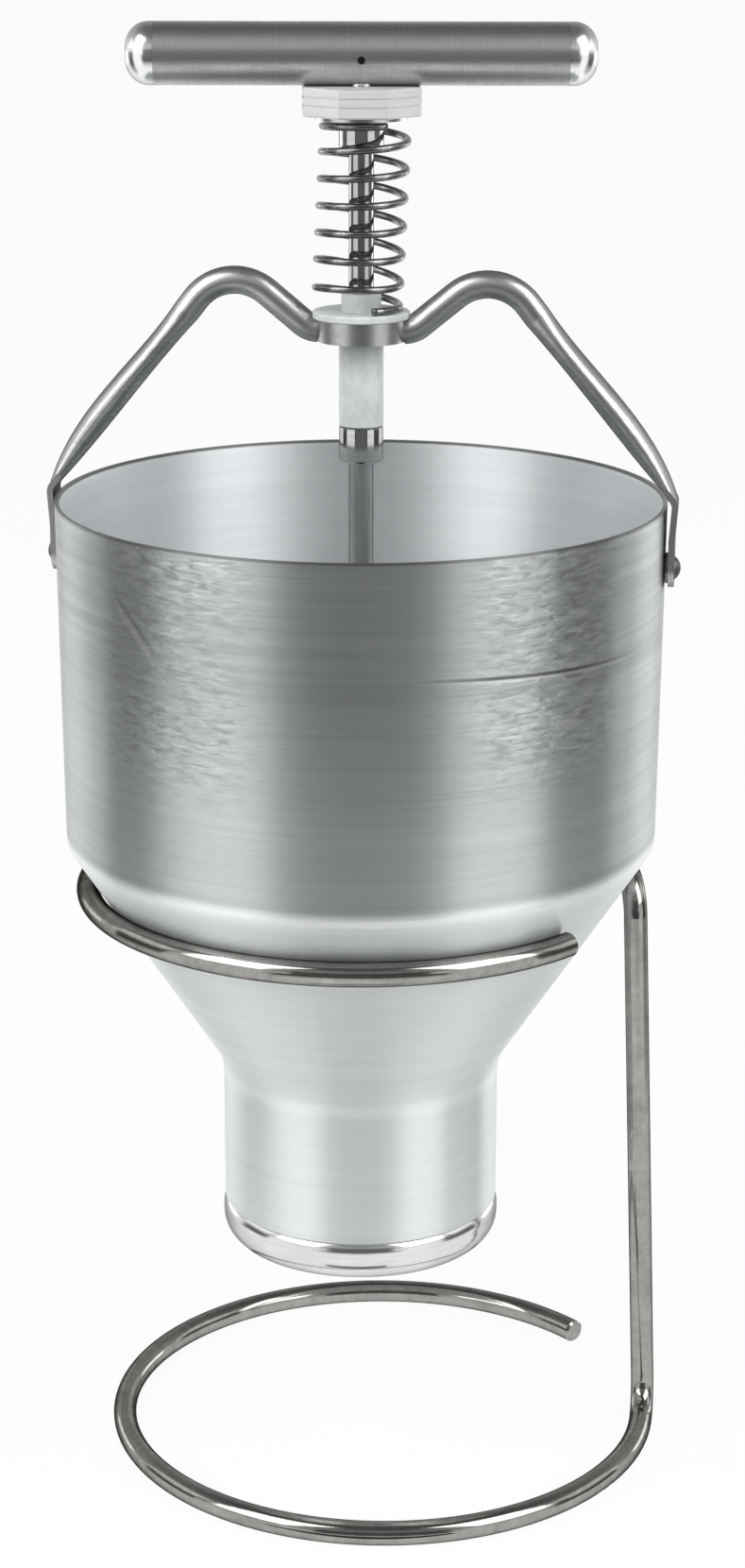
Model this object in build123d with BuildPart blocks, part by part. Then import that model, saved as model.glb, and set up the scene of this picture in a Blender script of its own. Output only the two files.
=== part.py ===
from build123d import *
from math import atan, ceil, cos, degrees, hypot, pi, radians, sin, sqrt, tan
import os

# Batter dispenser: a spun hopper with a spring plunger, held in a bent-wire stand.
# Millimetres, +Z up. The origin is on the hopper's axis, on the surface the stand rests on.

# Fits and cuts shared by all pieces
run_gap = 0.05
fit_gap = 0.05
rest_gap = 0.1
wipe_gap = 0.3
overrun = 5.0

# Wire stand
wire_d = 8.0
foot_flat = 0.4
base_ring_r = 91.5
base_ring_x = 8.0
base_end_deg = 38.5
ring_z = 199.0
ring_drop = 18.15
ring_end_deg = -43.0
bend_r = 12.0
bend_lead = 1.5
wire_end_chamfer = 0.7

# Hopper
rim_r = 100.0
side_taper = 1.25
neck_r = 47.0
wall = 1.6
side_h = 114.7
cone_h = 79.0
neck_h = 51.5
shoulder_fillet = 5.0
neck_fillet = 20.0
rim_round_share = 0.45

# Nozzle ring
nozzle_h = 13.5
nozzle_proud = 0.5
nozzle_top_h = 4.0
nozzle_top_in = 1.9
nozzle_low_h = 7.0
nozzle_low_in = 3.7
nozzle_wall = 2.75
nozzle_lead = 0.8
spigot_h = 10.0

# Bail, its straps and rivets
bail_turn_deg = -7.0
bar_d = 9.0
eye_r = 14.5
eye_t = 7.0
eye_over_rim = 58.2
valley_x = 16.8
hump_x = 43.6
hump_rise = 22.0
valley_bend_r = 8.0
hump_bend_r = 16.3
oval_t = 8.0
oval_w = 11.5
oval_lift = 1.6
oval_shares = (0.15, 0.72)
strap_t = 2.0
strap_w = 12.5
strap_bend_r = 4.0
strap_lap = 5.0
rim_clear = 1.6
strap_bend_over_rim = 1.0
strap_bend_drop = 12.0
rivet_drop = 21.0
rivet_d = 5.0
rivet_head_d = 7.6
rivet_head_t = 2.0
washer_d = 10.0
washer_t = 0.8

# Push rod, guide bush and stop collar
rod_d = 8.0
bush_wall = 3.15
bush_drop = 27.5
hub_wall = 2.35
hub_rise = 5.6
flange_t = 2.4
flange_over = 0.95
flange_round = 0.6
slot_l = 5.0
slot_w = 2.6
slot_depth = 1.2
collar_h = 11.7
collar_chamfer = 0.6
screw_d = 4.0
screw_drop = 4.5
screw_socket_d = 2.0
screw_socket_depth = 1.8

# Return spring
spring_wire = 2.4
spring_mean_r = 13.65
spring_len = 60.6
spring_turns = 7.02
spring_end_turns = (0.27, 0.5)
spring_settle_turns = 1.0
spring_start_deg = -68.4
spring_lean = 2.7
spring_tilt_shares = (0.15, 0.022)
spring_washer_t = 1.2
quarters = 4
turn_step_share = 0.001
gap_points_per_turn = 48

# Nut, hub sleeve and handle
lock_nut_af = 37.4
lock_nut_h = 9.0
lock_nut_sides = 8
lock_nut_turn_deg = 2.0
hex_sides = 6
lock_groove_w = 0.8
lock_groove_depth = 0.35
lock_groove_shares = (0.38, 0.68)
lock_nut_chamfer = 0.5
hub_sleeve_h = 10.4
grip_d = 19.8
grip_len = 148.6
grip_wall = 3.0
cap_len = 9.0
cap_round = 7.5
cap_spigot = 8.0
pin_d = 2.4
pin_drop = 1.5
pin_recess = 1.4
rod_in_grip_share = 0.7

# Piston and closing disc
stroke = 30.0
mouth_gap_share = 0.333
piston_t = 8.0
piston_land = 1.0
seal_w = 4.0
seal_depth = 3.0
seal_round_share = 0.3
nut_af = 13.0
nut_h = 6.5
disc_edge = 3.0
disc_hub_r = 12.0
disc_h = 10.0
disc_recess = 0.6
cap_hex_h = 6.0
cap_dome_r = 5.6
rod_tail = 8.0

# Sizes worked out from the ones above
full_turn = 360
quarter_turn = full_turn / quarters
wire_r = wire_d / 2
base_z = wire_r - foot_flat
rod_r = rod_d / 2
sleeve_r = rod_r + run_gap + bush_wall
grip_r = grip_d / 2
shoulder_r = rim_r - side_taper
cone_run = shoulder_r - neck_r
cone_len = hypot(cone_run, cone_h)
seat_offset = wire_r + wipe_gap

# The hopper hangs by its cone in the upper ring, a hair off the wire
ring_r = shoulder_r + (seat_offset * cone_len - ring_drop * cone_run) / cone_h
shoulder_z = ring_z + ring_drop
neck_top_z = shoulder_z - cone_h
rim_z = shoulder_z + side_h
neck_end_z = neck_top_z - neck_h
nozzle_z = neck_end_z - nozzle_h
neck_bore_r = neck_r - wall
nozzle_r = neck_r + nozzle_proud
nozzle_bore_r = neck_bore_r - fit_gap - nozzle_wall

# Heights of the bail, bush, spring and handle, stacked from the rim up
eye_top_z = rim_z + eye_over_rim
eye_z = eye_top_z - eye_t
bar_z = eye_top_z - eye_t / 2
bush_end_z = eye_z - bush_drop
flange_top_z = eye_top_z + rest_gap + flange_t
spring_z = flange_top_z
spring_top_z = spring_z + spring_len
nut_z = spring_top_z + spring_washer_t + rest_gap
grip_z = nut_z + lock_nut_h + grip_r + fit_gap
collar_top_z = bush_end_z - rest_gap
spring_out_r = spring_mean_r + spring_wire / 2
flange_r = spring_out_r + flange_over

# Heights of the piston and closing disc at rest
piston_z = neck_top_z + stroke * mouth_gap_share
disc_z = nozzle_z + disc_recess
rod_end_z = disc_z - rod_tail
rod_top_z = grip_z + rod_in_grip_share * (grip_r - grip_wall)
piston_r = neck_bore_r - wipe_gap
disc_r = nozzle_bore_r - wipe_gap

# Directions of the bail: along it, across it and the upright plane that holds its bar
bail_along = Vector(cos(radians(bail_turn_deg)), sin(radians(bail_turn_deg)), 0)
bail_across = Vector(sin(radians(bail_turn_deg)), -cos(radians(bail_turn_deg)), 0)
bail_plane = Plane(origin=(0, 0, 0), x_dir=bail_along, z_dir=bail_across)
bail_middle = Plane(origin=(0, 0, 0), x_dir=bail_across, z_dir=bail_along)

os.makedirs("parts", exist_ok=True)


def save(piece, name):
    """Label a finished piece and write it to its own file."""
    piece.part.label = name
    export_step(piece.part, f"parts/{name}.step")


def wall_r_at(z):
    """Outer radius of the hopper's upright wall at a height."""
    return shoulder_r + side_taper * (z - shoulder_z) / side_h


def on_plane(plane, x, y):
    """Point of a plane given by its own two coordinates."""
    return plane.from_local_coords(Vector(x, y, 0))


# Stand frame: base ring, leg and upper ring of one wire
bend_back = bend_r + bend_lead
base_turn = degrees(atan(bend_back / base_ring_r))
ring_turn = degrees(atan(bend_back / ring_r))
leg_foot = Vector(base_ring_x + base_ring_r / cos(radians(base_turn)), 0, base_z)
leg_head = Vector(ring_r / cos(radians(ring_turn)), 0, ring_z)
with BuildPart() as stand_frame:
    with BuildLine() as wire_path:
        base_arc = CenterArc(
            (base_ring_x, 0, base_z), base_ring_r, base_end_deg, full_turn - base_turn - base_end_deg
        )
        ring_arc = CenterArc(
            (0, 0, ring_z), ring_r, ring_turn, full_turn + ring_end_deg - ring_turn
        )
        FilletPolyline(base_arc @ 1, leg_foot, leg_head, ring_arc @ 0, radius=bend_r)
    with BuildSketch(Plane(origin=base_arc @ 0, x_dir=(0, 0, -1), z_dir=base_arc % 0)):
        Circle(wire_r)
    sweep(path=wire_path.wires()[0])
    chamfer(stand_frame.faces().filter_by(GeomType.PLANE).edges(), length=wire_end_chamfer)
    split(bisect_by=Plane.XY, keep=Keep.TOP)
save(stand_frame, "stand_frame")

# Rivets' height, and the faces of wall, washer and strap that they hold together
head_r = rivet_head_d / 2
rivet_z = rim_z - rivet_drop
rivet_plane = Plane(origin=(0, 0, rivet_z), x_dir=bail_across, z_dir=bail_along)
seat_x = max(wall_r_at(rivet_z + washer_d / 2), wall_r_at(rivet_z - washer_d / 2)) + fit_gap
inside_x = min(wall_r_at(rivet_z + head_r), wall_r_at(rivet_z - head_r)) - wall - wipe_gap
strap_in = seat_x + washer_t + fit_gap
strap_out = strap_in + strap_t + fit_gap

# Hopper shell: wall, cone and neck spun from one sheet, pierced for the rivets
with BuildPart() as hopper_shell:
    with BuildSketch(Plane.XZ):
        with BuildLine():
            FilletPolyline(
                (neck_r, neck_end_z),
                (neck_r, neck_top_z),
                (shoulder_r, shoulder_z),
                (rim_r, rim_z),
                radius=(neck_fillet, shoulder_fillet),
            )
            offset(amount=wall, side=Side.LEFT)
        make_face()
    revolve(axis=Axis.Z)
    rim_edges = hopper_shell.edges().group_by(Axis.Z)[-1]
    fillet(rim_edges, radius=wall * rim_round_share)
    with BuildSketch(rivet_plane):
        Circle(rivet_d / 2 + fit_gap)
    extrude(amount=strap_out + overrun, both=True, mode=Mode.SUBTRACT)
save(hopper_shell, "hopper_shell")

# Nozzle ring: polished rolled lip with a spigot inside the neck
lip_top_z = neck_end_z - fit_gap
with BuildPart() as nozzle_ring:
    with BuildSketch(Plane.XZ):
        with BuildLine():
            lip_top = TangentArc(
                (nozzle_r, lip_top_z - nozzle_top_h), (nozzle_r - nozzle_top_in, lip_top_z), tangent=(0, 1)
            )
            lip_low = TangentArc(
                (nozzle_r, nozzle_z + nozzle_low_h), (nozzle_r - nozzle_low_in, nozzle_z), tangent=(0, -1)
            )
            Line(lip_top @ 0, lip_low @ 0)
            Polyline(
                lip_low @ 1,
                (nozzle_bore_r, nozzle_z),
                (nozzle_bore_r, neck_end_z + spigot_h),
                (neck_bore_r - fit_gap, neck_end_z + spigot_h),
                (neck_bore_r - fit_gap, lip_top_z),
                lip_top @ 1,
            )
        make_face()
    revolve(axis=Axis.Z)
    mouth_edge = nozzle_ring.edges().group_by(Axis.Z)[0].sort_by(SortBy.RADIUS)[0]
    chamfer(mouth_edge, length=nozzle_lead)
save(nozzle_ring, "nozzle_ring")

# Bail: round bar bent over two humps, flattened to straps at the ends and to a pierced eye
strap_x = strap_in + strap_t / 2
bend_x = rim_r + rim_clear + strap_t / 2
bend_z = rim_z + strap_bend_over_rim
hump_corner = Vector(hump_x, bar_z + hump_rise)
bend_corner = Vector(bend_x, bend_z)
slope = (bend_corner - hump_corner).normalized()
rise = (Vector(valley_x, bar_z) - hump_corner).normalized()
hump_back = hump_bend_r * tan((pi - radians(slope.get_angle(rise))) / 2)
taper_start = hump_corner + slope * (hump_back + overrun)
taper_run = bend_corner - taper_start
slope_dir = bail_plane.from_local_coords(slope) - bail_plane.origin
slope_out = Vector(-slope.Y, slope.X)
oval_sections = (
    (0, bar_d, bar_d, 0),
    (oval_shares[0], oval_w, oval_t, oval_lift * oval_shares[0] / oval_shares[1]),
    (oval_shares[1], oval_w, oval_t, oval_lift),
    (1, strap_w, strap_t, 0),
)
with BuildPart() as bail:
    with BuildSketch(bail_plane):
        with BuildLine():
            FilletPolyline(
                bend_corner - slope * strap_lap,
                bend_corner,
                (strap_x, bend_z - strap_bend_drop),
                (strap_x, rivet_z - strap_w / 2),
                radius=strap_bend_r,
            )
            offset(amount=strap_t / 2)
        make_face()
    extrude(amount=strap_w / 2, both=True)
    for share, width, depth, lift in oval_sections:
        place = taper_start + taper_run * share + slope_out * lift
        with BuildSketch(Plane(on_plane(bail_plane, place.X, place.Y), x_dir=bail_across, z_dir=slope_dir)):
            Ellipse(width / 2, depth / 2)
    loft()
    with BuildLine() as bar_path:
        FilletPolyline(
            on_plane(bail_plane, 0, bar_z),
            on_plane(bail_plane, valley_x, bar_z),
            on_plane(bail_plane, hump_corner.X, hump_corner.Y),
            on_plane(bail_plane, taper_start.X, taper_start.Y),
            radius=(valley_bend_r, hump_bend_r),
        )
    with BuildSketch(Plane(on_plane(bail_plane, 0, bar_z), x_dir=bail_across, z_dir=bail_along)):
        Circle(bar_d / 2)
    sweep(path=bar_path.wires()[0])
    mirror(about=bail_middle)
    with BuildSketch(Plane.XY.offset(eye_z)):
        Circle(eye_r)
    extrude(amount=eye_t)
    with BuildSketch(Plane.XY.offset(eye_top_z)):
        Circle(flange_r + wipe_gap)
    extrude(amount=bar_d, mode=Mode.SUBTRACT)
    with BuildSketch(Plane.XY.offset(eye_z)):
        Circle(eye_r)
    extrude(amount=-bar_d, mode=Mode.SUBTRACT)
    with BuildSketch(Plane.XY.offset(eye_z)):
        Circle(sleeve_r + fit_gap)
    extrude(amount=eye_t, mode=Mode.SUBTRACT)
    with BuildSketch(rivet_plane):
        Rectangle(strap_w + overrun, strap_w, align=(Align.CENTER, Align.MIN))
        Circle(strap_w / 2, mode=Mode.SUBTRACT)
        Circle(rivet_d / 2 + fit_gap)
    extrude(amount=strap_out + overrun, both=True, mode=Mode.SUBTRACT)
save(bail, "bail")

# Washers between the straps and the wall
with BuildPart() as rivet_washers:
    with BuildSketch(rivet_plane.offset(seat_x)):
        Circle(washer_d / 2)
        Circle(rivet_d / 2 + fit_gap, mode=Mode.SUBTRACT)
    extrude(amount=washer_t)
    mirror(about=bail_middle)
save(rivet_washers, "rivet_washers")

# Rivets: domed head outside, formed head against the inside of the wall
with BuildPart() as bail_rivets:
    with BuildSketch(bail_plane):
        with BuildLine():
            dome = TangentArc(
                (strap_out + rivet_head_t, rivet_z), (strap_out, rivet_z + head_r), tangent=(0, 1)
            )
            Polyline(
                dome @ 1,
                (strap_out, rivet_z + rivet_d / 2),
                (inside_x, rivet_z + rivet_d / 2),
                (inside_x, rivet_z + head_r),
                (inside_x - rivet_head_t / 2, rivet_z + head_r),
                (inside_x - rivet_head_t / 2, rivet_z),
                dome @ 0,
            )
        make_face()
    revolve(axis=Axis((0, 0, rivet_z), bail_along))
    mirror(about=bail_middle)
save(bail_rivets, "bail_rivets")

# Guide bush: hub, flange with two spanner slots, and the sleeve that passes through the eye
bush_hub_r = rod_r + run_gap + hub_wall
with BuildPart() as guide_bush:
    with BuildSketch(Plane.XZ):
        with BuildLine():
            Polyline(
                (rod_r + run_gap, bush_end_z),
                (sleeve_r, bush_end_z),
                (sleeve_r, flange_top_z - flange_t),
                (flange_r, flange_top_z - flange_t),
                (flange_r, flange_top_z),
                (bush_hub_r, flange_top_z),
                (bush_hub_r, flange_top_z + hub_rise),
                (rod_r + run_gap, flange_top_z + hub_rise),
                close=True,
            )
        make_face()
    revolve(axis=Axis.Z)
    flange_edges = guide_bush.edges().filter_by(GeomType.CIRCLE).sort_by(SortBy.RADIUS)
    fillet(flange_edges[-2:], radius=flange_round)
    slot_x = (bush_hub_r + flange_r) / 2
    with BuildSketch(Plane.XY.offset(flange_top_z)):
        with Locations((slot_x, 0), (-slot_x, 0)):
            SlotOverall(slot_l, slot_w)
    extrude(amount=-slot_depth, mode=Mode.SUBTRACT)
save(guide_bush, "guide_bush")


# Return spring: open coils with eased ends, leaning a little between its two seats
def spring_point(turn):
    """Middle of the spring wire after a number of turns from its lower end."""
    low, high = spring_path_z
    first, last = spring_end_turns
    climb_turns = spring_turns - (first + last) / 2
    left = spring_turns - turn
    if turn < first:
        climb = turn**2 / (2 * first)
    elif left < last:
        climb = climb_turns - left**2 / (2 * last)
    else:
        climb = turn - first / 2
    share = climb / climb_turns
    tilt = spring_tilt_shares[0] * (1 - share) + spring_tilt_shares[1] * share
    settled = min(turn, left, spring_settle_turns) / spring_settle_turns
    angle = radians(spring_start_deg) + 2 * pi * turn
    out_x = spring_mean_r * cos(angle)
    return Vector(
        out_x + spring_lean * (share - 1 / 2),
        spring_mean_r * sin(angle),
        low + (high - low) * share - tilt * settled * out_x,
    )


def spring_heading(turn):
    """Direction of the spring wire at a turn, from two points close beside it."""
    step = turn_step_share / quarters
    return (spring_point(turn + step) - spring_point(turn - step)).normalized()


def biarc(start, start_dir, end, end_dir):
    """Two arcs that join two points and keep both directions."""
    chord = end - start
    both = start_dir + end_dir
    curl = 2**2 - both.dot(both)
    along = chord.dot(both)
    reach = (sqrt(along**2 + curl * chord.dot(chord)) - along) / curl
    first = start + start_dir * reach
    second = end - end_dir * reach
    joint = (first + second) / 2
    TangentArc(start, joint, tangent=start_dir)
    TangentArc(joint, end, tangent=second - first)


def spring_least_gap():
    """Least clear distance between neighbouring coils, on points along the wire."""
    count = ceil(spring_turns * gap_points_per_turn)
    points = [spring_point(spring_turns * i / count) for i in range(count + 1)]
    apart = gap_points_per_turn // 2
    gaps = [(p - q).length for i, p in enumerate(points) for q in points[i + apart:]]
    return min(gaps) - spring_wire


spring_path_z = (spring_z + rest_gap + spring_wire / 2, spring_top_z - rest_gap - spring_wire / 2)
spans = ceil(spring_turns * quarters)
marks = [spring_turns * i / spans for i in range(spans + 1)]
with BuildPart() as return_spring:
    with BuildLine() as coil:
        for turn, next_turn in zip(marks, marks[1:]):
            biarc(
                spring_point(turn), spring_heading(turn), spring_point(next_turn), spring_heading(next_turn)
            )
    with BuildSketch(Plane(origin=spring_point(0), z_dir=spring_heading(0))):
        Circle(spring_wire / 2)
    sweep(path=coil.wires()[0])
save(return_spring, "return_spring")
print(f"spring least gap to itself {spring_least_gap():.2f} mm")

# Thrust washer between the spring and the nut, free to turn on the hub sleeve
with BuildPart() as spring_washer:
    with BuildSketch(Plane.XY.offset(spring_top_z)):
        Circle(spring_out_r)
        Circle(sleeve_r + run_gap, mode=Mode.SUBTRACT)
    extrude(amount=spring_washer_t)
save(spring_washer, "spring_washer")

# Lock nut: eight flats with two fine grooves, tightened against the handle
octant_half = full_turn / lock_nut_sides / 2
with BuildPart() as lock_nut:
    with BuildSketch(Plane.XY.offset(nut_z)):
        RegularPolygon(
            lock_nut_af / 2, lock_nut_sides, major_radius=False, rotation=lock_nut_turn_deg + octant_half
        )
        Circle(rod_r + fit_gap, mode=Mode.SUBTRACT)
    extrude(amount=lock_nut_h)
    flat_edges = lock_nut.edges().filter_by(GeomType.LINE).filter_by(Axis.Z, reverse=True)
    chamfer(flat_edges, length=lock_nut_chamfer)
    for share in lock_groove_shares:
        with BuildSketch(Plane.XY.offset(nut_z + lock_nut_h * share)):
            Circle(lock_nut_af)
            RegularPolygon(
                lock_nut_af / 2 - lock_groove_depth,
                lock_nut_sides,
                major_radius=False,
                rotation=lock_nut_turn_deg + octant_half,
                mode=Mode.SUBTRACT,
            )
        extrude(amount=lock_groove_w / 2, both=True, mode=Mode.SUBTRACT)
save(lock_nut, "lock_nut")

# Hub sleeve: bright sleeve on the rod under the nut, that the washer turns on
hub_sleeve_z = nut_z - fit_gap - hub_sleeve_h
hub_screw_plane = Plane(origin=(0, 0, spring_top_z - screw_drop), x_dir=(1, 0, 0), z_dir=(0, 1, 0))
with BuildPart() as hub_sleeve:
    with BuildSketch(Plane.XY.offset(hub_sleeve_z)):
        Circle(sleeve_r)
        Circle(rod_r + fit_gap, mode=Mode.SUBTRACT)
    extrude(amount=hub_sleeve_h)
    sleeve_ends = hub_sleeve.edges().filter_by(GeomType.CIRCLE).group_by(SortBy.RADIUS)[-1]
    chamfer(sleeve_ends, length=collar_chamfer)
    with BuildSketch(hub_screw_plane):
        Circle(screw_d / 2 + fit_gap)
    extrude(amount=sleeve_r, mode=Mode.SUBTRACT)
save(hub_sleeve, "hub_sleeve")

# Set screw at the back of the hub sleeve, with a socket in its outer end
screw_in = rod_r + fit_gap
screw_out = sleeve_r - rest_gap
with BuildPart() as hub_screw:
    with BuildSketch(hub_screw_plane.offset(screw_in)):
        Circle(screw_d / 2)
    extrude(amount=screw_out - screw_in)
    with BuildSketch(hub_screw_plane.offset(screw_out)):
        RegularPolygon(screw_socket_d / 2, hex_sides, major_radius=False)
    extrude(amount=-screw_socket_depth, mode=Mode.SUBTRACT)
save(hub_screw, "hub_screw")

# Stop collar: stops the plunger against the lower end of the bush
stop_z = collar_top_z - collar_h
stop_screw_plane = Plane(origin=(0, 0, stop_z + collar_h / 2), x_dir=(1, 0, 0), z_dir=(0, 1, 0))
with BuildPart() as stop_collar:
    with BuildSketch(Plane.XY.offset(stop_z)):
        Circle(sleeve_r)
        Circle(rod_r + fit_gap, mode=Mode.SUBTRACT)
    extrude(amount=collar_h)
    collar_ends = stop_collar.edges().filter_by(GeomType.CIRCLE).group_by(SortBy.RADIUS)[-1]
    chamfer(collar_ends, length=collar_chamfer)
    with BuildSketch(stop_screw_plane):
        Circle(screw_d / 2 + fit_gap)
    extrude(amount=sleeve_r, mode=Mode.SUBTRACT)
save(stop_collar, "stop_collar")

# Set screw at the back of the stop collar
with BuildPart() as stop_screw:
    with BuildSketch(stop_screw_plane.offset(screw_in)):
        Circle(screw_d / 2)
    extrude(amount=screw_out - screw_in)
    with BuildSketch(stop_screw_plane.offset(screw_out)):
        RegularPolygon(screw_socket_d / 2, hex_sides, major_radius=False)
    extrude(amount=-screw_socket_depth, mode=Mode.SUBTRACT)
save(stop_screw, "stop_screw")

# Grip tube: cross handle, bored from below for the rod and across for the pin
grip_plane = Plane(origin=(0, 0, grip_z), x_dir=(0, 1, 0), z_dir=(1, 0, 0))
pin_plane = Plane(origin=(0, 0, grip_z - pin_drop), x_dir=(1, 0, 0), z_dir=(0, -1, 0))
tube_len = grip_len - 2 * cap_len
with BuildPart() as grip_tube:
    with BuildSketch(grip_plane):
        Circle(grip_r)
        Circle(grip_r - grip_wall, mode=Mode.SUBTRACT)
    extrude(amount=tube_len / 2, both=True)
    with BuildSketch(Plane.XY.offset(grip_z)):
        Circle(rod_r + fit_gap)
    extrude(amount=-grip_d, mode=Mode.SUBTRACT)
    with BuildSketch(pin_plane):
        Circle(pin_d / 2 + fit_gap)
    extrude(amount=grip_d, both=True, mode=Mode.SUBTRACT)
save(grip_tube, "grip_tube")

# Grip caps: domed ends with a spigot inside the tube
spigot_r = grip_r - grip_wall - fit_gap
with BuildPart() as grip_caps:
    with BuildSketch(grip_plane.offset(tube_len / 2 + fit_gap)):
        Circle(grip_r)
    extrude(amount=cap_len)
    fillet(grip_caps.edges().group_by(Axis.X)[-1], radius=cap_round)
    with BuildSketch(grip_plane.offset(tube_len / 2 + fit_gap)):
        Circle(spigot_r)
    extrude(amount=-cap_spigot)
    mirror(about=Plane.YZ)
save(grip_caps, "grip_caps")

# Grip pin across the handle and the rod, sunk below the surface
pin_half = sqrt(grip_r**2 - pin_drop**2) - pin_recess
with BuildPart() as grip_pin:
    with BuildSketch(pin_plane):
        Circle(pin_d / 2)
    extrude(amount=pin_half, both=True)
save(grip_pin, "grip_pin")

# Plunger rod, drilled for the pin
with BuildPart() as plunger_rod:
    with BuildSketch(Plane.XY.offset(rod_end_z)):
        Circle(rod_r)
    extrude(amount=rod_top_z - rod_end_z)
    with BuildSketch(pin_plane):
        Circle(pin_d / 2 + fit_gap)
    extrude(amount=grip_d, both=True, mode=Mode.SUBTRACT)
save(plunger_rod, "plunger_rod")

# Piston disc with a groove for its seal
groove_r = piston_r - seal_depth
groove_z = piston_z + (piston_t - seal_w) / 2
with BuildPart() as piston_disc:
    with BuildSketch(Plane.XY.offset(piston_z)):
        Circle(piston_r - piston_land)
        Circle(rod_r + fit_gap, mode=Mode.SUBTRACT)
    extrude(amount=piston_t)
    with BuildSketch(Plane.XY.offset(groove_z)):
        Circle(piston_r)
        Circle(groove_r, mode=Mode.SUBTRACT)
    extrude(amount=seal_w, mode=Mode.SUBTRACT)
save(piston_disc, "piston_disc")

# Piston seal: ring in the groove that wipes the neck
with BuildPart() as piston_seal:
    with BuildSketch(Plane.XY.offset(groove_z + fit_gap)):
        Circle(piston_r)
        Circle(groove_r + fit_gap, mode=Mode.SUBTRACT)
    extrude(amount=seal_w - 2 * fit_gap)
    wiping_edges = piston_seal.edges().filter_by(GeomType.CIRCLE).group_by(SortBy.RADIUS)[-1]
    fillet(wiping_edges, radius=seal_w * seal_round_share)
save(piston_seal, "piston_seal")

# Nuts above and below the piston
with BuildPart() as piston_nuts:
    for low in (piston_z + piston_t + fit_gap, piston_z - fit_gap - nut_h):
        with BuildSketch(Plane.XY.offset(low)):
            RegularPolygon(nut_af / 2, hex_sides, major_radius=False)
            Circle(rod_r + fit_gap, mode=Mode.SUBTRACT)
        extrude(amount=nut_h)
save(piston_nuts, "piston_nuts")

# Nut above the closing disc
with BuildPart() as disc_nut:
    with BuildSketch(Plane.XY.offset(disc_z + disc_h + fit_gap)):
        RegularPolygon(nut_af / 2, hex_sides, major_radius=False)
        Circle(rod_r + fit_gap, mode=Mode.SUBTRACT)
    extrude(amount=nut_h)
save(disc_nut, "disc_nut")

# Closing disc: shuts the nozzle at rest, with a sloping top that sheds batter
with BuildPart() as closing_disc:
    with BuildSketch(Plane.XZ):
        with BuildLine():
            Polyline(
                (rod_r + fit_gap, disc_z),
                (disc_r, disc_z),
                (disc_r, disc_z + disc_edge),
                (disc_hub_r, disc_z + disc_h),
                (rod_r + fit_gap, disc_z + disc_h),
                close=True,
            )
        make_face()
    revolve(axis=Axis.Z)
save(closing_disc, "closing_disc")

# Cap nut: hexagon with a dome that covers the end of the rod
cap_top_z = disc_z - fit_gap
with BuildPart() as cap_nut:
    with BuildSketch(Plane.XY.offset(cap_top_z)):
        RegularPolygon(nut_af / 2, hex_sides, major_radius=False)
    extrude(amount=-cap_hex_h)
    with BuildSketch(Plane.XZ):
        with BuildLine():
            dome = CenterArc((0, cap_top_z - cap_hex_h), cap_dome_r, -quarter_turn, quarter_turn)
            Polyline(dome @ 1, (0, cap_top_z - cap_hex_h), dome @ 0)
        make_face()
    revolve(axis=Axis.Z)
    with BuildSketch(Plane.XY.offset(cap_top_z)):
        Circle(rod_r + fit_gap)
    extrude(amount=-rod_tail, mode=Mode.SUBTRACT)
save(cap_nut, "cap_nut")
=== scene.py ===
from math import cos, pi, radians, sin

import bmesh
import bpy
from mathutils import Matrix, Vector


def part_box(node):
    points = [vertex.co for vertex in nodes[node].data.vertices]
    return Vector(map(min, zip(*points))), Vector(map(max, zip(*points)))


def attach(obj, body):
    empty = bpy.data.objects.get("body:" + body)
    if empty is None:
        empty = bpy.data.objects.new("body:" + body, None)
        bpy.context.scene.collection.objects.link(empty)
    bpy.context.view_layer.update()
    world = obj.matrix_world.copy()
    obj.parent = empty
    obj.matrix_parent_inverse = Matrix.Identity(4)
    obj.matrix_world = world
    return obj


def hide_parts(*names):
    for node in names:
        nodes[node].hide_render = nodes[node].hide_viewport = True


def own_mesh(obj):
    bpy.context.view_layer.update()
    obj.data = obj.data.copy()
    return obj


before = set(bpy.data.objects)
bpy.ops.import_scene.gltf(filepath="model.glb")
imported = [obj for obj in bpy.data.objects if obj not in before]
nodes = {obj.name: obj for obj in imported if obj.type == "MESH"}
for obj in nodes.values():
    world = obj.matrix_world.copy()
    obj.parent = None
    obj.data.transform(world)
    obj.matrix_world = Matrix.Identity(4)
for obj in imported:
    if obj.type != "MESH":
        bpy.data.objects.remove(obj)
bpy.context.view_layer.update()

# Looks of the batter dispenser: spun hopper, sprung T-handle plunger and wire stand. Metres, +Z up.

# Camera of the photo
CAMERA_PLACE = (0.003902, -1.047313, 0.547029)
CAMERA_TILT = radians(73.335)
CAMERA_ROLL = radians(0.11)
CAMERA_LENS = 74.77
CAMERA_SENSOR = 36

# Return spring as wound in the CAD: wire, coils and eased ends at the bottom and the top
SPRING_WIRE = 0.0024
SPRING_MEAN_R = 0.01365
SPRING_TURNS = 7.02
SPRING_END_TURNS = (0.27, 0.5)
SPRING_START = radians(-68.4)
# Shift along X from the lower to the upper end
SPRING_LEAN = 0.0027
# Tilt of the lowest and the highest coil, and the turns at each end over which it sets in
SPRING_TILTS = (0.15, 0.022)
SPRING_TILT_TURNS = 1.0
# Seat below the top of the guide bush, and gap to each seat
SPRING_SEAT_DROP = 0.0056
SPRING_GAP = 0.0001
# Fineness of the coil's mesh
SPRING_SIDES = 16
SPRING_STEPS_PER_TURN = 56

# Heights on the hopper: its shoulder, and a fine pale line round the neck that is a painted highlight
SHOULDER_Z = 0.21715
NECK_HIGHLIGHT_Z = 0.134

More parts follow.
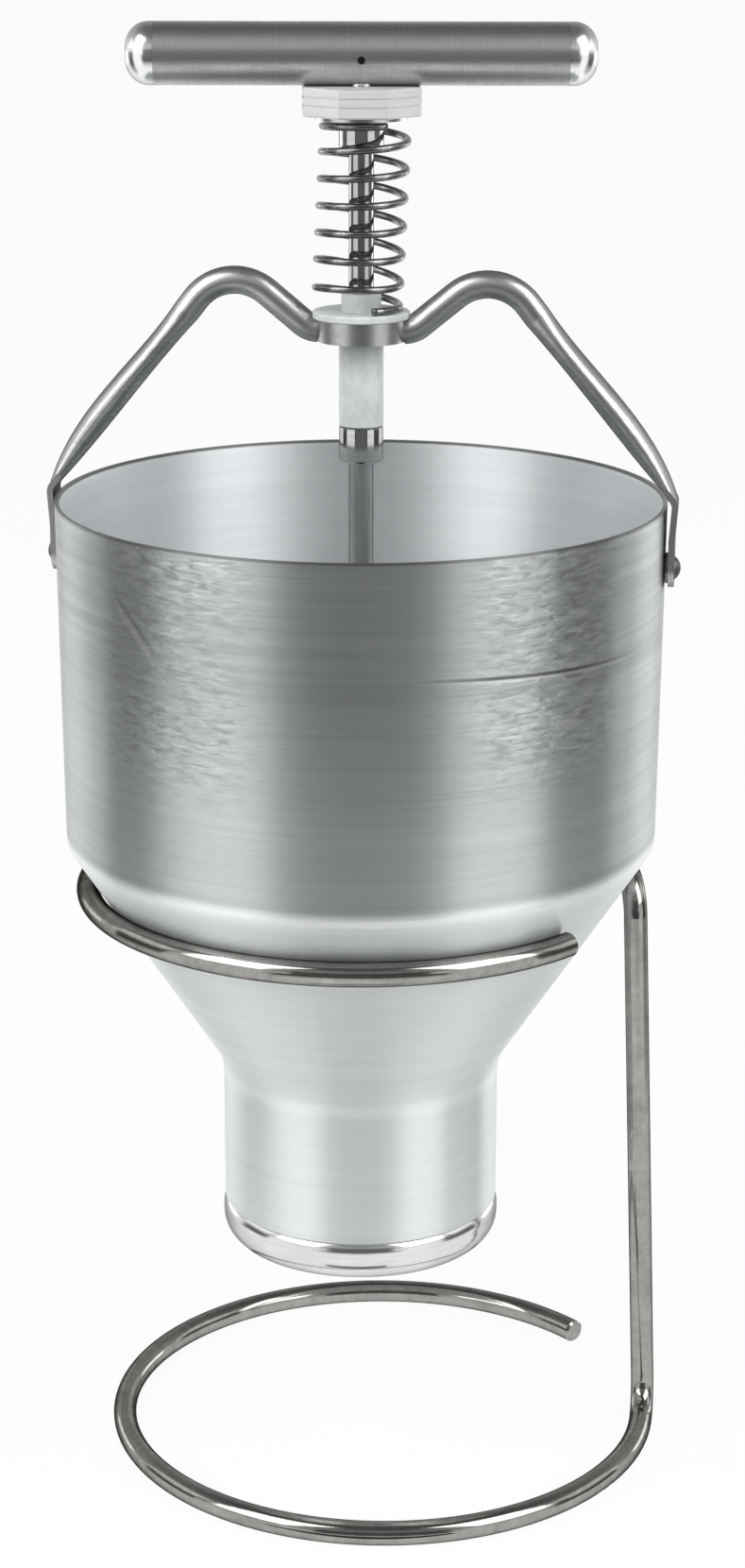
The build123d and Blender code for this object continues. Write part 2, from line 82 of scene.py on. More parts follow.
# Fades on the hopper: heights over the shoulder, heights over the rim's top, and Y at the front
WALL_FADE = (0.0012, 0.0038)
# Heights over the shoulder over which the wall's painted reflection of the floor gives way to its darker
# tones high up
WALL_PAINTED_REFLECTION_FADE = (0.015, 0.075)
RIPPLE_FADE = (0.032, 0.056)
# The rim's top edge is painted dark: painted shade
RIM_SHADE_FADE = (-0.001, -0.0006)
FRONT_FADE = (-0.03, -0.04)
# Fade from surfaces that face away from the axis to those that face it
INSIDE_FADE = (0.005, -0.005)

# Bands on the hopper: middle, half width and fade at each edge
RIPPLE_SIDES = (0.056, 0.013, 0.014)
# Painted highlight: a fine pale line round the neck
NECK_HIGHLIGHT_BAND = (NECK_HIGHLIGHT_Z, 0.001, 0.0022)
# Painted highlight: a pale band round the shoulder
SHOULDER_HIGHLIGHT_BAND = (SHOULDER_Z, 0.0012, 0.0035)

# Slanted marks on the front, a scratched groove and a dented hollow: slope and height at the middle, then
# bands for length, groove and light edge. The scratched groove is a real mark with relief. Both grooves are
# painted dark as painted shade, and their light edges are painted highlights
SCRATCH = ((-0.042, 0.2958), (0.052, 0.012, 0.024), (0.0, 0.0003, 0.0004), (-0.0011, 0.0002, 0.0004))
DENT = ((-1.25, 0.219), (-0.07, 0.0045, 0.002), (0.0, 0.0004, 0.0014), (-0.003, 0.0008, 0.0016))
# Shares of the dented hollow's painted shade and of the painted highlight on its edge
DENT_SHADE_SHARE = 0.35
DENT_HIGHLIGHT_SHARE = 0.5

# Ripples: share of them low on the wall, and the ranges of noise for patches, for painted shade in their
# hollows and for painted highlights on their tops
RIPPLE_LOW_SHARE = 0.15
RIPPLE_PATCHES = (0.2, 0.46)
RIPPLE_SHADE_RANGE = (0.48, 0.36)
RIPPLE_HIGHLIGHT_RANGE = (0.54, 0.66)

# Tones of the hopper, dark and light; the wall is painted lighter low down than high up, a painted
# reflection of the floor
WALL_LOW_TONES = (0.45, 0.54)
WALL_HIGH_TONES = (0.34, 0.45)
CONE_TONES = (0.67, 0.73)
INSIDE_TONES = ((0.83, 0.86, 0.87), (0.9, 0.93, 0.94))

# Gloss of the hopper: roughness, more of it inside, and metallic shares of the cone and the inside
HOPPER_ROUGHNESS = (0.46, 0.38)
INSIDE_ROUGHNESS = 0.14
CONE_METALLIC = 0.72
INSIDE_METALLIC = 0.82
HOPPER_TURNING = 0.9

# Relief of the hopper: depth of a ripple, and shares of it for round lines and for the scratch
RIPPLE_DEPTH = 2.4e-4
CONE_LINE_SHARE = 0.006
WALL_LINE_SHARE = 0.03
SCRATCH_RELIEF_SHARE = -0.2

# Marks of the hopper in the order they are laid on: share of the mark and its grey level. Most are painted
# light: painted shade in the ripples' hollows, on the rim's top edge and in the slanted grooves, and painted
# highlights on the ripples' tops, round the neck, at the shoulder and on the grooves' lower edges
HOPPER_MARKS = {
    "trough_shade": (0.5, 0.2),
    "crest_highlight": (0.22, 0.85),
    "rim": (1.0, 0.22),
    "neck_highlight": (0.35, 0.9),
    "shoulder_highlight": (0.4, 0.9),
    "groove_highlight": (0.35, 0.8),
    "groove_shade": (0.9, 0.1),
}

# Handle, bush and seal: dark and light tone, roughness of both, and depth of the relief
GRIP_TONES = (0.4, 0.62)
GRIP_ROUGHNESS = (0.4, 0.28)
GRIP_DEPTH = 2e-5
BUSH_TONES = (0.5, 0.64)
BUSH_ROUGHNESS = (0.6, 0.42)
BUSH_DEPTH = 1e-5
SEAL_TONES = (0.76, 0.88)
SEAL_ROUGHNESS = (0.72, 0.55)
SEAL_DEPTH = 2e-5
# What the turning rings add to the handle's relief, and how far the seal's white leans to yellow
GRIP_RING_SHARE = 0.4
SEAL_WARMTH = 0.02

# Ranges of noise that tones and roughness are spread over
TONE_RANGE = (0.36, 0.64)
METAL_RANGE = (0.34, 0.66)
RUB_RANGE = (0.35, 0.62)
SKIN_RANGE = (0.35, 0.65)
WIDE_RANGE = (0.3, 0.7)

# Red, green and blue of pale metal against grey
COOL_TINT = (0.955, 1.0, 1.005)

# Drawn metal: grains per metre of tarnish and pits, and their shares of the tone and the relief
TARNISH_GRAIN = (90, 90, 90)
TARNISH_SHARE = 0.45
LINE_SHARE = 0.55
PIT_GRAIN = (900, 900, 900)
PIT_RANGE = (0.27, 0.34)
PIT_SHARE = 0.5

# Offset of a noise along each axis, for each step of its shift
SHIFT_PARTS = (1.0, 1.7, 0.6)

# Turn of stretched highlights, in whole turns
QUARTER_TURN = 0.25


class Paint:
    """One procedural material: a Principled shader and the nodes that feed it."""

    def __init__(self, name, metallic, colour, roughness):
        """Start with a plain look, which stands where the nodes aren't read."""
        self.material = bpy.data.materials.new(name)
        self.material.use_nodes = True
        self.tree = self.material.node_tree
        self.shader = self.tree.nodes["Principled BSDF"]
        self.shader.inputs["Metallic"].default_value = metallic
        self.shader.inputs["Base Color"].default_value = (*colour, 1)
        self.shader.inputs["Roughness"].default_value = roughness
        place = self.add("ShaderNodeTexCoord")
        self.place = place.outputs["Object"]
        self.normal = place.outputs["Normal"]

    def add(self, kind, **settings):
        """Add a node and set its own properties."""
        node = self.tree.nodes.new(kind)
        for key, value in settings.items():
            setattr(node, key, value)
        return node

    def feed(self, socket, value):
        """Link an output, or set a plain value, on an input."""
        if isinstance(value, bpy.types.NodeSocket):
            self.tree.links.new(value, socket)
        else:
            socket.default_value = value

    def step(self, operation, *values):
        """Result of one arithmetic step."""
        node = self.add("ShaderNodeMath", operation=operation)
        for socket, value in zip(node.inputs, values):
            self.feed(socket, value)
        return node.outputs["Value"]

    def times(self, first, second):
        """Product of two values."""
        return self.step("MULTIPLY", first, second)

    def times_plus(self, first, second, third):
        """Product of two values, plus a third."""
        return self.step("MULTIPLY_ADD", first, second, third)

    def minus(self, first, second):
        """Difference of two values."""
        return self.step("SUBTRACT", first, second)

    def weigh(self, first, *others):
        """Sum of pairs of a value and its share."""
        total = self.times(*first)
        for value, share in others:
            total = self.times_plus(value, share, total)
        return total

    def axis(self, name, source=None):
        """One coordinate of the piece, in metres, or of another vector."""
        node = self.add("ShaderNodeSeparateXYZ")
        self.feed(node.inputs["Vector"], source or self.place)
        return node.outputs[name]

    def noise(self, grain, detail=3.0, roughness=0.5, shift=0.0, warp=0.0):
        """Noise with its own number of grains per metre along each axis."""
        mapping = self.add("ShaderNodeMapping")
        mapping.inputs["Scale"].default_value = grain
        mapping.inputs["Location"].default_value = [shift * part for part in SHIFT_PARTS]
        self.feed(mapping.inputs["Vector"], self.place)
        node = self.add("ShaderNodeTexNoise")
        node.inputs["Scale"].default_value = 1.0
        node.inputs["Detail"].default_value = detail
        node.inputs["Roughness"].default_value = roughness
        node.inputs["Distortion"].default_value = warp
        self.feed(node.inputs["Vector"], mapping.outputs["Vector"])
        return node.outputs["Fac"]

    def span(self, value, low, high, to_low=0.0, to_high=1.0):
        """Spread the range low..high of a value over another range, held at its ends."""
        node = self.add("ShaderNodeMapRange")
        set_range(node, low, high, to_low, to_high)
        self.feed(node.inputs["Value"], value)
        return node.outputs["Result"]

    def between(self, mask, low, high):
        """Value that goes from low to high with a mask."""
        return self.span(mask, 0.0, 1.0, low, high)

    def line(self, value, middle, half, soft):
        """Mask that is 1 within half of a middle value and fades over soft."""
        away = self.step("ABSOLUTE", self.minus(value, middle))
        return self.span(away, half, half + soft, 1.0, 0.0)

    def mix(self, share, first, second):
        """Colour between two colours."""
        node = self.add("ShaderNodeMix", data_type="RGBA")
        self.feed(node.inputs["Factor"], share)
        for name, value in (("A", first), ("B", second)):
            socket = [s for s in node.inputs if s.name == name and s.type == "RGBA"][0]
            self.feed(socket, value if isinstance(value, bpy.types.NodeSocket) else (*value, 1))
        return [s for s in node.outputs if s.type == "RGBA"][0]

    def colour(self, value):
        """Colour of the surface."""
        self.feed(self.shader.inputs["Base Color"], value)

    def rough(self, value):
        """Roughness of the surface."""
        self.feed(self.shader.inputs["Roughness"], value)

    def bump(self, height, depth):
        """Raise the surface by up to a depth in metres."""
        node = self.add("ShaderNodeBump")
        node.inputs["Strength"].default_value = 1.0
        node.inputs["Distance"].default_value = depth
        self.feed(node.inputs["Height"], height)
        self.feed(self.shader.inputs["Normal"], node.outputs["Normal"])

    def turned(self, amount):
        """Stretch highlights along Z, as fine lines round the axis do."""
        node = self.add("ShaderNodeTangent", direction_type="RADIAL", axis="Z")
        self.feed(self.shader.inputs["Tangent"], node.outputs["Tangent"])
        self.shader.inputs["Anisotropic"].default_value = amount
        self.shader.inputs["Anisotropic Rotation"].default_value = QUARTER_TURN


def set_range(node, low, high, to_low, to_high):
    """Ends of a Map Range node."""
    for name, number in (("From Min", low), ("From Max", high), ("To Min", to_low), ("To Max", to_high)):
        node.inputs[name].default_value = number


def grey(level, warm=0.0):
    """Neutral colour, or one that leans a little to yellow."""
    return (level * (1 + warm), level, level * (1 - 2 * warm))


def cool(level):
    """Pale metal that leans a little to blue-green."""
    return tuple(level * part for part in COOL_TINT)


def drawn_metal(name, tones, roughness, grain, warm=0.0, depth=2e-6, metallic=1.0, edge=1.0):
    """Drawn or polished metal: fine grain, cloudy tarnish and small pits. A low edge darkens its outline."""
    paint = Paint(name, metallic, grey(tones[1], warm), roughness[0])
    paint.shader.inputs["Specular Tint"].default_value = (edge, edge, edge, 1)
    lines = paint.noise(grain, detail=4.0, roughness=0.6)
    cloud = paint.noise(TARNISH_GRAIN, shift=3.1)
    tone = paint.weigh((cloud, TARNISH_SHARE), (lines, LINE_SHARE))
    dark, pale = (grey(level, warm) for level in tones)
    paint.colour(paint.mix(paint.span(tone, *METAL_RANGE), dark, pale))
    paint.rough(paint.span(tone, *WIDE_RANGE, roughness[1], roughness[0]))
    pits = paint.span(paint.noise(PIT_GRAIN, detail=2.0, shift=7.7), *PIT_RANGE)
    paint.bump(paint.times_plus(pits, PIT_SHARE, lines), depth)
    return paint.material


def spun_hopper():
    """Spun aluminium: round lines and ripples high on the wall, with painted shade and painted highlights on
    the ripples, a painted reflection that lightens the wall low down, a rim edge painted dark as painted
    shade, painted highlights round the neck and at the shoulder, and a long scratched groove and a dented
    hollow painted as shade with painted highlights on their edges.
    """
    paint = Paint("spun_aluminium", metallic=1.0, colour=grey(0.66), roughness=0.42)
    rim_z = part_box("hopper_shell")[1].z
    height = paint.axis("Z")
    along = paint.axis("X")
    away = paint.axis("Y")

    def climb(start_z, fade, *levels):
        """Fade between two heights over a start."""
        return paint.span(height, start_z + fade[0], start_z + fade[1], *levels)

    def slanted_mark(slant, length, groove, edge):
        """Masks of a slanted groove on the front, painted as shade, and of its light edge, painted as a
        highlight.
        """
        off = paint.minus(height, paint.times_plus(along, *slant))
        place = paint.times(paint.line(along, *length), front)
        return [paint.times(paint.line(off, *band), place) for band in (groove, edge)]

    # Regions
    outward = paint.times(along, paint.axis("X", paint.normal))
    outward = paint.times_plus(away, paint.axis("Y", paint.normal), outward)
    inside = paint.span(outward, *INSIDE_FADE)
    wall = climb(SHOULDER_Z, WALL_FADE)
    front = paint.times(paint.span(away, *FRONT_FADE), paint.between(inside, 1.0, 0.0))

    # Tones
    lines = paint.noise((14, 14, 2600), roughness=0.6)
    bands = paint.noise((3, 3, 260), detail=2.0, shift=1.3)
    cloud = paint.noise((16, 16, 22), detail=4.0, roughness=0.6, shift=9.4)
    tone = paint.weigh((bands, 0.35), (lines, 0.4), (cloud, 0.25))
    spread = paint.span(tone, *TONE_RANGE)
    wall_low, wall_high, cone = (
        paint.mix(spread, cool(dark), cool(pale))
        for dark, pale in (WALL_LOW_TONES, WALL_HIGH_TONES, CONE_TONES)
    )
    # Wall painted lighter low down than high up: a painted reflection of the floor
    outer = paint.mix(climb(SHOULDER_Z, WALL_PAINTED_REFLECTION_FADE), wall_low, wall_high)
    base = paint.mix(inside, paint.mix(wall, cone, outer), paint.mix(spread, *INSIDE_TONES))

    # Ripples on the two sides of the front and of the back: a real relief that also carries painted shade
    # and painted highlights
    ripples = paint.noise((150, 150, 640), detail=2.0, shift=5.2, warp=0.5)
    sides = paint.line(paint.step("ABSOLUTE", along), *RIPPLE_SIDES)
    rippled = paint.times(climb(SHOULDER_Z, RIPPLE_FADE, RIPPLE_LOW_SHARE, 1.0), sides)
    rippled = paint.times(rippled, paint.minus(wall, inside))
    rippled = paint.times(rippled, paint.span(cloud, *RIPPLE_PATCHES))

    # Marks, mostly painted shade and painted highlights
    groove_shade, groove_highlight = slanted_mark(*SCRATCH)
    dent_shade, dent_highlight = slanted_mark(*DENT)
    masks = {
        "trough_shade": paint.times(paint.span(ripples, *RIPPLE_SHADE_RANGE), rippled),
        "crest_highlight": paint.times(paint.span(ripples, *RIPPLE_HIGHLIGHT_RANGE), rippled),
        # the rim's top edge painted dark, as painted shade
        "rim": climb(rim_z, RIM_SHADE_FADE),
        "neck_highlight": paint.line(height, *NECK_HIGHLIGHT_BAND),
        "shoulder_highlight": paint.minus(paint.line(height, *SHOULDER_HIGHLIGHT_BAND), inside),
        "groove_highlight": paint.times_plus(dent_highlight, DENT_HIGHLIGHT_SHARE, groove_highlight),
        "groove_shade": paint.times_plus(dent_shade, DENT_SHADE_SHARE, groove_shade),
    }
    for name, (share, level) in HOPPER_MARKS.items():
        base = paint.mix(paint.times(masks[name], share), base, grey(level))
    paint.colour(base)

    # Gloss and relief
    rough = paint.span(tone, *TONE_RANGE, *HOPPER_ROUGHNESS)
    paint.rough(paint.times_plus(inside, INSIDE_ROUGHNESS, rough))
    outer_metal = paint.between(wall, CONE_METALLIC, 1.0)
    inner_metal = paint.between(inside, 1.0, INSIDE_METALLIC)
    paint.feed(paint.shader.inputs["Metallic"], paint.step("MINIMUM", outer_metal, inner_metal))
    relief = paint.times(ripples, rippled)
    relief = paint.times_plus(lines, paint.between(wall, CONE_LINE_SHARE, WALL_LINE_SHARE), relief)
    relief = paint.times_plus(masks["groove_shade"], SCRATCH_RELIEF_SHARE, relief)
    paint.bump(relief, RIPPLE_DEPTH)
    paint.turned(HOPPER_TURNING)
    return paint.material


def satin_grip():
    """Satin aluminium tube: fine rings from turning, broken brushing and cloudy wear."""
    paint = Paint("satin_aluminium", metallic=1.0, colour=grey(0.5), roughness=0.4)
    rings = paint.noise((2200, 30, 30), roughness=0.6)
    brushing = paint.noise((260, 900, 900), detail=4.0, roughness=0.7, shift=2.2)
    cloud = paint.noise((60, 90, 90), detail=4.0, roughness=0.6, shift=6.5)
    tone = paint.weigh((brushing, 0.35), (rings, 0.3), (cloud, 0.35))
    dark, pale = (grey(level) for level in GRIP_TONES)
    paint.colour(paint.mix(paint.span(tone, *TONE_RANGE), dark, pale))
    paint.rough(paint.span(tone, *TONE_RANGE, *GRIP_ROUGHNESS))
    paint.bump(paint.times_plus(rings, GRIP_RING_SHARE, brushing), GRIP_DEPTH)
    return paint.material


def nylon_bush():
    """Turned white nylon: faint tool rings and grey rub marks."""
    paint = Paint("white_nylon", metallic=0.0, colour=grey(0.8), roughness=0.5)
    rings = paint.noise((20, 20, 1500), detail=2.0)
    marks = paint.noise((160, 160, 90), detail=5.0, roughness=0.65, shift=4.0)
    dark, pale = (cool(level) for level in BUSH_TONES)
    paint.colour(paint.mix(paint.span(marks, *RUB_RANGE), dark, pale))
    paint.rough(paint.span(marks, *WIDE_RANGE, *BUSH_ROUGHNESS))
    paint.bump(rings, BUSH_DEPTH)
    return paint.material


def seal_rubber():
    """White food rubber with a dusty skin."""
    paint = Paint("seal_rubber", metallic=0.0, colour=grey(0.85, SEAL_WARMTH), roughness=0.6)
    skin = paint.noise((700, 700, 700), detail=4.0, roughness=0.6)
    dark, pale = (grey(level, SEAL_WARMTH) for level in SEAL_TONES)
    paint.colour(paint.mix(paint.span(skin, *SKIN_RANGE), dark, pale))
    paint.rough(paint.span(skin, *WIDE_RANGE, *SEAL_ROUGHNESS))
    paint.bump(skin, SEAL_DEPTH)
    return paint.material


def spring_point(turn, low, high):
    """Middle of the spring wire after a number of turns from its lower end."""
    first, last = SPRING_END_TURNS
    climb_turns = SPRING_TURNS - (first + last) / 2
    left = SPRING_TURNS - turn
    if turn < first:
        climb = turn**2 / (2 * first)
    elif left < last:
        climb = climb_turns - left**2 / (2 * last)
    else:
        climb = turn - first / 2
    share = climb / climb_turns
    tilt = SPRING_TILTS[0] * (1 - share) + SPRING_TILTS[1] * share
    angle = SPRING_START + 2 * pi * turn
    out_x = SPRING_MEAN_R * cos(angle)
    return Vector((
        out_x + SPRING_LEAN * (share - 0.5),
        SPRING_MEAN_R * sin(angle),
        low + (high - low) * share - tilt * min(turn, left, SPRING_TILT_TURNS) * out_x,
    ))


def add_object(name, data):
    """Put a new object in the scene."""
    obj = bpy.data.objects.new(name, data)
    bpy.context.scene.collection.objects.link(obj)
    return obj


def make_spring():
    """Open coil with cut ends."""
    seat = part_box("guide_bush")[1].z - SPRING_SEAT_DROP
    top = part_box("spring_washer")[0].z
    half = SPRING_WIRE / 2
    low = seat + SPRING_GAP + half
    high = top - SPRING_GAP - half
    steps = int(SPRING_TURNS * SPRING_STEPS_PER_TURN)
    points = [spring_point(SPRING_TURNS * i / steps, low, high) for i in range(steps + 1)]
    angles = [2 * pi * k / SPRING_SIDES for k in range(SPRING_SIDES)]
    mesh = bmesh.new()
    rings = []
    for i, point in enumerate(points):
        heading = (points[min(i + 1, steps)] - points[max(i - 1, 0)]).normalized()
        side = heading.cross(Vector((0, 0, 1))).normalized()
        over = side.cross(heading)
        rings.append([mesh.verts.new(point + half * (cos(a) * side + sin(a) * over)) for a in angles])
    for ring, after in zip(rings, rings[1:]):
        for k in range(SPRING_SIDES):
            beside = (k + 1) % SPRING_SIDES
            mesh.faces.new((ring[k], ring[beside], after[beside], after[k])).smooth = True
    mesh.faces.new(list(reversed(rings[0])))
    mesh.faces.new(rings[-1])
    bmesh.ops.recalc_face_normals(mesh, faces=mesh.faces)
    data = bpy.data.meshes.new("spring_coil")
    mesh.to_mesh(data)
    mesh.free()
    coil = add_object("spring_coil", data)
    coil.data.materials.append(PAINTS["return_spring"])
    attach(coil, "hopper")
    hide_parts("return_spring")
    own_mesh(coil)


# Metals: dark and light tone, low and high roughness, and grains per metre along X, Y and Z
METALS = {
    "plated_steel": dict(tones=(0.52, 0.72), roughness=(0.16, 0.3), grain=(400, 400, 400)),
    "chrome": dict(
        tones=(0.58, 0.74), roughness=(0.05, 0.1), grain=(60, 60, 1800), depth=5e-7, edge=0.4
    ),
    "rivet_steel": dict(
        tones=(0.14, 0.28), roughness=(0.3, 0.46), grain=(700, 700, 700), depth=8e-6, edge=0.2
    ),
    "polished_aluminium": dict(
        tones=(0.68, 0.82), roughness=(0.12, 0.2), grain=(60, 60, 1500), depth=1e-6, edge=0.35
    ),
    "bright_aluminium": dict(
        tones=(0.64, 0.78), roughness=(0.42, 0.52), grain=(40, 40, 2600), depth=6e-6, metallic=0.5
    ),
    "polished_caps": dict(tones=(0.86, 0.96), roughness=(0.16, 0.26), grain=(1500, 60, 60), edge=0.45),
    "turned_aluminium": dict(tones=(0.48, 0.7), roughness=(0.26, 0.4), grain=(60, 60, 1800), depth=4e-6),
    "polished_stainless": dict(
        tones=(0.28, 0.41), roughness=(0.08, 0.15), grain=(300, 300, 300), warm=0.025, edge=0.1
    ),
    "bright_steel": dict(tones=(0.42, 0.58), roughness=(0.28, 0.4), grain=(200, 900, 900), edge=0.1),
    "spring_steel": dict(tones=(0.12, 0.3), roughness=(0.16, 0.3), grain=(500, 500, 500)),
    "dark_steel": dict(tones=(0.03, 0.08), roughness=(0.35, 0.5), grain=(900, 900, 900)),
    "bright_rod": dict(
        tones=(0.46, 0.62), roughness=(0.06, 0.12), grain=(700, 700, 60), depth=5e-7, edge=0.1
    ),
}
metals = {name: drawn_metal(name, **look) for name, look in METALS.items()}
PAINTS = {
    "stand_frame": metals["polished_stainless"],
    "hopper_shell": spun_hopper(),
    "nozzle_ring": metals["polished_aluminium"],
    "bail": metals["bright_steel"],
    "bail_rivets": metals["rivet_steel"],
    "rivet_washers": metals["rivet_steel"],
    "guide_bush": nylon_bush(),
    "return_spring": metals["spring_steel"],
    "spring_washer": metals["plated_steel"],
    "lock_nut": metals["bright_aluminium"],
    "hub_sleeve": metals["chrome"],
    "hub_screw": metals["plated_steel"],
    "grip_tube": satin_grip(),
    "grip_caps": metals["polished_caps"],
    "grip_pin": metals["dark_steel"],
    "plunger_rod": metals["bright_rod"],
    "stop_collar": metals["chrome"],
    "stop_screw": metals["plated_steel"],
    "piston_disc": metals["turned_aluminium"],
    "piston_seal": seal_rubber(),
    "piston_nuts": metals["plated_steel"],
    "closing_disc": metals["turned_aluminium"],
    "disc_nut": metals["plated_steel"],
    "cap_nut": metals["plated_steel"],
}
for name, obj in nodes.items():
    obj.data.materials.clear()
    obj.data.materials.append(PAINTS[name])
make_spring()

# Floor: reach to each side, its grey, and how much of it glows white where it is seen
FLOOR_REACH = 14.0
FLOOR_GREY = 0.8
FLOOR_GLOW = 0.92

# Cards on the floor: bearings of both edges in degrees from the front, nearest reach, grey there and
# where the fade ends, and furthest reach
FLAG_FADE_END = 1.0
FLAG_REACH = 9.0
FLAG_LIFT = 0.001
FLAG_ROUGHNESS = 0.9
FLAGS = (
    ("front_flag", (-33, 33), 0.3, (0.85, 0.05), FLAG_REACH),
    ("ring_flag", (-26, 20), 0.108, (0.02, 0.02), 0.134),
    ("left_flag", (-80, -108), 0.45, (0.5, 0.05), FLAG_REACH),
    ("right_flag", (70, 106), 0.45, (0.5, 0.05), FLAG_REACH),
)

# Upright cards: the places of both edges on the floor, height and brightness
CARDS = (
    ("backdrop", (-2.2, 3.2), (2.2, 3.2), 1.3, 0.95),
    ("room_front", (-0.8, -1.6), (0.8, -1.6), 1.0, 0.14),
    ("room_left", (-2.0, -0.4), (-2.0, 0.65), 0.85, 0.15),
    ("room_right", (2.0, -0.72), (2.0, 0.57), 0.85, 0.15),
)

# Pairs of lights: place of the right one, height of their aim, width and height, left and right brightness
LIGHT_PAIRS = (
    ("box", (1.15, -0.8, 1.32), 0.35, (1.1, 1.5), (3.4, 3.4)),
    ("side", (1.7, 0.2, 0.9), 0.45, (1.0, 0.8), (0.6, 0.6)),
    ("rim", (1.45, 1.25, 0.23), 0.23, (0.7, 0.42), (1.6, 2.2)),
)

# Light from above, spread over a wide angle
SKY_LEVEL = 0.9
SKY_SPREAD = radians(30)
SKY_TURN = (radians(45), radians(-8), 0)

# Room round the object: grey by the height of the view's direction where it is seen, and its even light
WORLD_LEVELS = (
    (0.0, 0.96),
    (0.16, 0.96),
    (0.32, 0.48),
    (0.48, 0.5),
    (0.68, 0.3),
    (0.85, 0.16),
    (0.98, 0.12),
)
WORLD_LIGHT = 0.4


def plane_object(name, corners, material):
    """Flat panel through given corners."""
    data = bpy.data.meshes.new(name)
    data.from_pydata(corners, [], [range(len(corners))])
    data.materials.append(material)
    obj = add_object(name, data)
    return obj


def seen_rays(tree):
    """1 for rays from the camera, a reflection or clear matter, 0 for rays that light the object."""
    path = tree.nodes.new("ShaderNodeLightPath")
    value = path.outputs["Is Camera Ray"]
    for name in ("Is Glossy Ray", "Is Transmission Ray"):
        both = tree.nodes.new("ShaderNodeMath")
        both.operation = "MAXIMUM"
        tree.links.new(value, both.inputs[0])
        tree.links.new(path.outputs[name], both.inputs[1])
        value = both.outputs[0]
    return value


def floor_paint():
    """White paper that stays white in the picture and in reflections, and keeps the shadow."""
    material = bpy.data.materials.new("paper")
    material.use_nodes = True
    tree = material.node_tree
    tree.nodes.clear()
    add = tree.nodes.new
    share = add("ShaderNodeMath")
    share.operation = "MULTIPLY"
    share.inputs[1].default_value = FLOOR_GLOW
    tree.links.new(seen_rays(tree), share.inputs[0])
    matt = add("ShaderNodeBsdfDiffuse")
    matt.inputs["Color"].default_value = (*grey(FLOOR_GREY), 1)
    glow = add("ShaderNodeEmission")
    glow.inputs["Strength"].default_value = 1.0
    mix = add("ShaderNodeMixShader")
    tree.links.new(share.outputs[0], mix.inputs[0])
    tree.links.new(matt.outputs[0], mix.inputs[1])
    tree.links.new(glow.outputs[0], mix.inputs[2])
    out = add("ShaderNodeOutputMaterial")
    tree.links.new(mix.outputs[0], out.inputs["Surface"])
    return material


def reflected_plane(name, corners, material):
    """Flat panel that only reflections see."""
    card = plane_object(name, corners, material)
    card.visible_camera = False
    card.visible_diffuse = False
    card.visible_shadow = False


def flag(name, bearings, near, levels, far):
    """Grey card on the floor for reflections, between two bearings, that may darken away from the object."""
    material = bpy.data.materials.new(name)
    material.use_nodes = True
    tree = material.node_tree
    shader = tree.nodes["Principled BSDF"]
    shader.inputs["Roughness"].default_value = FLAG_ROUGHNESS
    place = tree.nodes.new("ShaderNodeTexCoord")
    reach = tree.nodes.new("ShaderNodeVectorMath")
    reach.operation = "LENGTH"
    fade = tree.nodes.new("ShaderNodeMapRange")
    set_range(fade, near, FLAG_FADE_END, *levels)
    tree.links.new(place.outputs["Object"], reach.inputs[0])
    tree.links.new(reach.outputs["Value"], fade.inputs["Value"])
    tree.links.new(fade.outputs["Result"], shader.inputs["Base Color"])
    start, end = (radians(bearing) for bearing in bearings)
    corners = []
    for out, bearing in ((near, start), (near, end), (far, end), (far, start)):
        corners.append((out * sin(bearing), -out * cos(bearing), FLAG_LIFT))
    reflected_plane(name, corners, material)


def reflected_card(name, start, end, height, level):
    """Upright card of an even brightness for reflections, between two places on the floor."""
    material = bpy.data.materials.new(name)
    material.use_nodes = True
    shader = material.node_tree.nodes["Principled BSDF"]
    shader.inputs["Base Color"].default_value = (0, 0, 0, 1)
    shader.inputs["Specular IOR Level"].default_value = 0.0
    shader.inputs["Emission Color"].default_value = (1, 1, 1, 1)
    shader.inputs["Emission Strength"].default_value = level
    corners = [(*start, 0), (*end, 0), (*end, height), (*start, height)]
    reflected_plane(name, corners, material)


def panel(name, place, target, width, height, radiance):
    """Soft light of a given brightness, hidden from the camera."""
    light = bpy.data.lights.new(name, "AREA")
    light.shape = "RECTANGLE"
    light.size = width
    light.size_y = height
    light.energy = radiance * pi * width * height
    obj = add_object(name, light)
    obj.location = place
    obj.rotation_euler = (Vector(target) - Vector(place)).to_track_quat("-Z", "Y").to_euler()
    obj.visible_camera = False


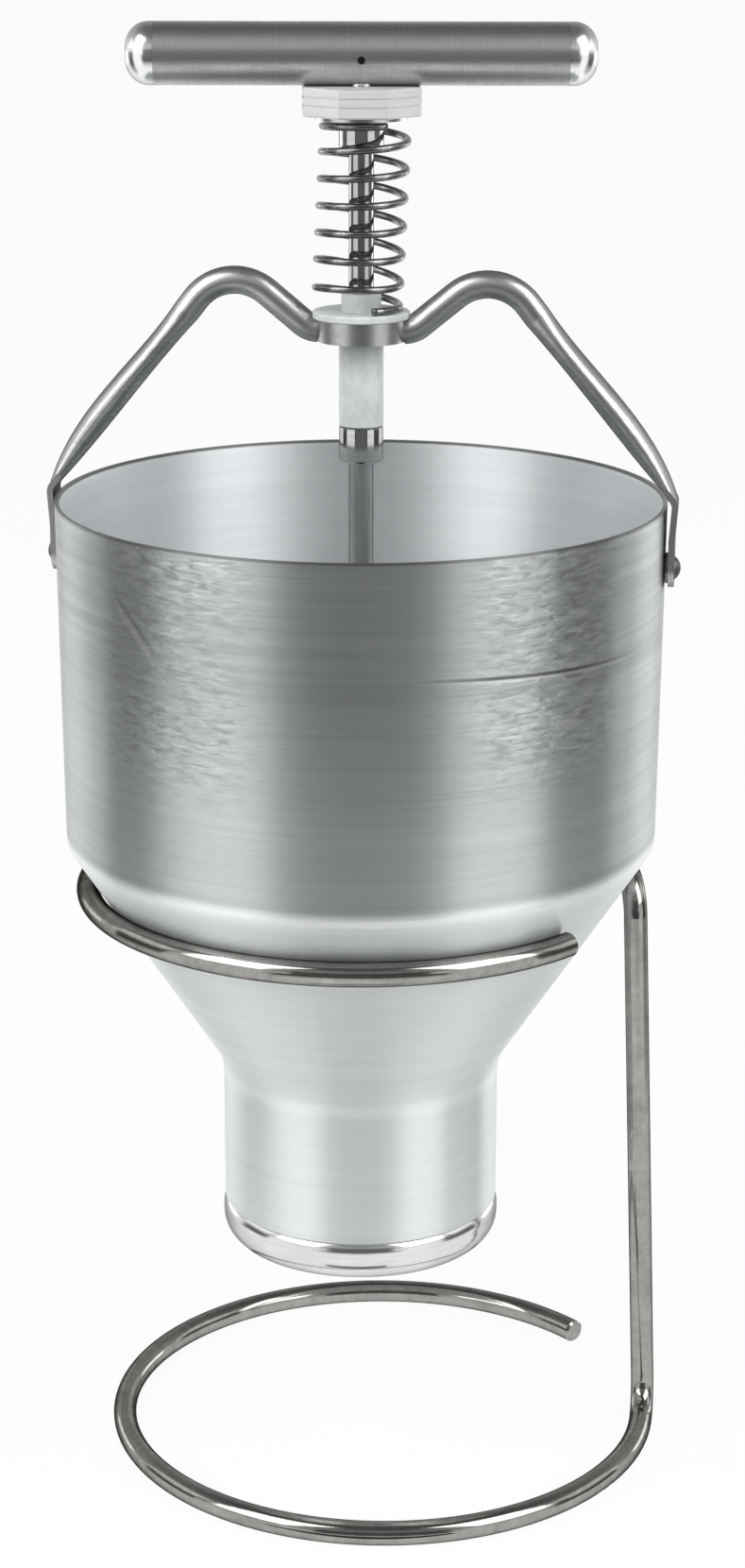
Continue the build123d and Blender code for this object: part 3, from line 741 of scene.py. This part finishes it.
def make_stage():
    """Floor, cards and lights."""
    signs = ((-1, -1), (1, -1), (1, 1), (-1, 1))
    floor_corners = [(x * FLOOR_REACH, y * FLOOR_REACH, 0) for x, y in signs]
    plane_object("floor", floor_corners, floor_paint())
    for row in FLAGS:
        flag(*row)
    for kind, (out, depth, rise), aim_z, (width, height), levels in LIGHT_PAIRS:
        for side, sign, level in zip(("left", "right"), (-1, 1), levels):
            panel(f"{side}_{kind}", (sign * out, depth, rise), (0, 0, aim_z), width, height, level)
    for row in CARDS:
        reflected_card(*row)
    sky = bpy.data.lights.new("sky", "SUN")
    sky.energy = SKY_LEVEL
    sky.angle = SKY_SPREAD
    sky_object = add_object("sky", sky)
    sky_object.rotation_euler = SKY_TURN
    sky_object.visible_glossy = False


def make_world():
    """Pale room that is brightest near the horizon where it is seen, and lights the object evenly."""
    world = bpy.data.worlds.new("studio")
    world.use_nodes = True
    tree = world.node_tree
    seen = tree.nodes["Background"]
    facing = tree.nodes.new("ShaderNodeTexCoord")
    split = tree.nodes.new("ShaderNodeSeparateXYZ")
    ramp = tree.nodes.new("ShaderNodeValToRGB")
    stops = ramp.color_ramp.elements
    for position, level in WORLD_LEVELS:
        stops.new(position).color = (*grey(level), 1)
    stops.remove(stops[0])
    stops.remove(stops[-1])
    even = tree.nodes.new("ShaderNodeBackground")
    even.inputs["Color"].default_value = (*grey(WORLD_LIGHT), 1)
    both = tree.nodes.new("ShaderNodeMixShader")
    tree.links.new(facing.outputs["Generated"], split.inputs["Vector"])
    tree.links.new(split.outputs["Z"], ramp.inputs["Fac"])
    tree.links.new(ramp.outputs["Color"], seen.inputs["Color"])
    tree.links.new(seen_rays(tree), both.inputs[0])
    tree.links.new(even.outputs[0], both.inputs[1])
    tree.links.new(seen.outputs[0], both.inputs[2])
    tree.links.new(both.outputs[0], tree.nodes["World Output"].inputs["Surface"])
    bpy.context.scene.world = world


def make_camera():
    """Camera at the photo's angle."""
    lens = bpy.data.cameras.new("camera")
    lens.lens = CAMERA_LENS
    lens.sensor_width = CAMERA_SENSOR
    camera = add_object("camera", lens)
    camera.matrix_world = (
        Matrix.Translation(CAMERA_PLACE)
        @ Matrix.Rotation(CAMERA_TILT, 4, "X")
        @ Matrix.Rotation(CAMERA_ROLL, 4, "Z")
    )
    bpy.context.scene.camera = camera


make_stage()
make_world()
make_camera()
bpy.context.scene.view_settings.view_transform = "Standard"
